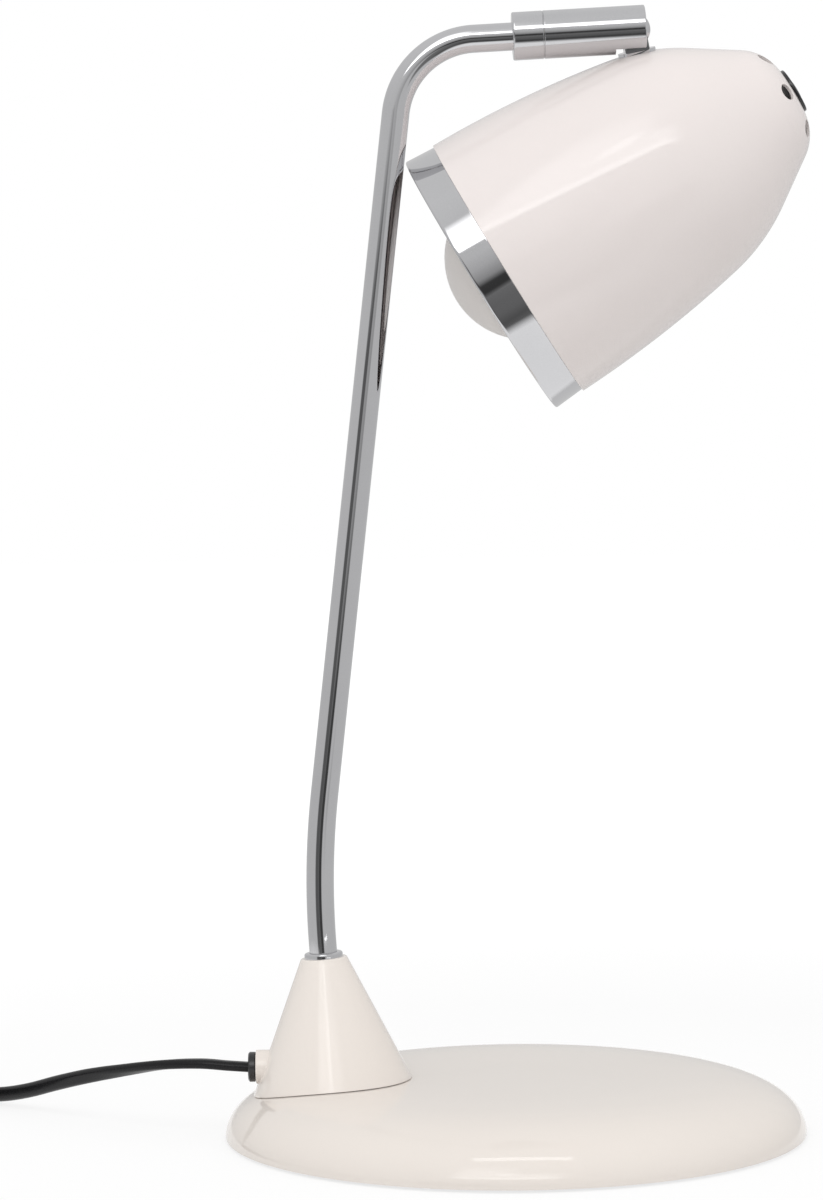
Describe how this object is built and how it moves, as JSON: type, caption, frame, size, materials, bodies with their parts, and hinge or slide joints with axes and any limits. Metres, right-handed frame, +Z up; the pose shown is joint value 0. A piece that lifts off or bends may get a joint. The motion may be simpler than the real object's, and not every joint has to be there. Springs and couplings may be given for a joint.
{
  "type": "desk lamp",
  "caption": "Desk lamp with a round weighted base, a leaning bright arm and a bullet-shaped shade that swivels and tilts, with a push switch at its rear.",
  "frame": {"origin": "centre of the base's underside, on the table", "axes": "+Z up, +X from the cone foot towards the shade's rear, +Y away from the viewer of the picture"},
  "size_m": [0.4212, 0.21, 0.407],
  "materials": {
    "base_cover": "gloss",
    "base_weight": "as cast",
    "base_pad": "matt",
    "base_bolt": "plated",
    "bolt_washer": "plated",
    "stand_cone": "gloss",
    "cone_collar": "polished",
    "arm_tube": "polished",
    "tube_washer": "plated",
    "tube_nut": "plated",
    "swivel_sleeve": "polished",
    "swivel_nipple": "plain",
    "friction_washer": "plated",
    "spring_washer": "plain",
    "nipple_nut": "plated",
    "cord_grip": "gloss",
    "arm_lead": "satin",
    "cord_run": "satin",
    "cord_coil": "satin",
    "cord_tail": "satin",
    "plug_body": "satin",
    "plug_pins": "plated",
    "swivel_body": "polished",
    "tilt_screw": "plated",
    "swivel_lead": "satin",
    "head_knuckle": "polished",
    "saddle_washer": "polished",
    "stem_washer": "plated",
    "stem_nut": "plated",
    "shade_shell": "gloss",
    "rim_band": "polished",
    "switch_ring": "gloss",
    "ring_nut": "plated",
    "holder_nipple": "plain",
    "holder_cap": "satin",
    "switch_body": "matt",
    "holder_shell": "satin",
    "screw_shell": "plain",
    "contact_block": "matt",
    "centre_contact": "plain",
    "terminal_screws": "plated",
    "head_lead": "satin",
    "bulb_glass": "opal, satin",
    "bulb_cap": "plain",
    "bulb_contact": "matt",
    "switch_button": "gloss"
  },
  "bodies": {
    "stand": {"base_cover": "base_cover", "base_weight": "base_weight", "base_pad": "base_pad", "base_bolt": "base_bolt", "bolt_washer": "bolt_washer", "stand_cone": "stand_cone", "cone_collar": "cone_collar", "arm_tube": "arm_tube", "tube_washer": "tube_washer", "tube_nut": "tube_nut", "swivel_sleeve": "swivel_sleeve", "swivel_nipple": "swivel_nipple", "friction_washer": "friction_washer", "spring_washer": "spring_washer", "nipple_nut": "nipple_nut", "cord_grip": "cord_grip", "arm_lead": "arm_lead", "cord_run": "cord_run", "cord_coil": "cord_coil", "cord_tail": "cord_tail", "plug_body": "plug_body", "plug_pins": "plug_pins"},
    "swivel": {"swivel_body": "swivel_body", "tilt_screw": "tilt_screw", "swivel_lead": "swivel_lead"},
    "head": {"head_knuckle": "head_knuckle", "saddle_washer": "saddle_washer", "stem_washer": "stem_washer", "stem_nut": "stem_nut", "shade_shell": "shade_shell", "rim_band": "rim_band", "switch_ring": "switch_ring", "ring_nut": "ring_nut", "holder_nipple": "holder_nipple", "holder_cap": "holder_cap", "switch_body": "switch_body", "holder_shell": "holder_shell", "screw_shell": "screw_shell", "contact_block": "contact_block", "centre_contact": "centre_contact", "terminal_screws": "terminal_screws", "head_lead": "head_lead", "bulb_glass": "bulb_glass", "bulb_cap": "bulb_cap", "bulb_contact": "bulb_contact"},
    "button": {"switch_button": "switch_button"}
  },
  "joints": [
    {"name": "head_swivel", "type": "hinge", "parent": "stand", "child": "swivel", "pos_m": [0.0476, 0, 0.39821], "axis": [0.999, 0, 0.0436], "range_deg": [-177, 153]},
    {"name": "head_tilt", "type": "hinge", "parent": "swivel", "child": "head", "pos_m": [0.0476, 0, 0.39821], "axis": [0.0091, -0.9781, -0.2077], "range_deg": [0, 75]},
    {"name": "switch_press", "type": "slide", "parent": "head", "child": "button", "axis": [-0.8549, 0.1002, -0.509], "range_m": [0, 0.0012], "stiffness_N_per_m": 900, "springref_m": -0.001}
  ]
}
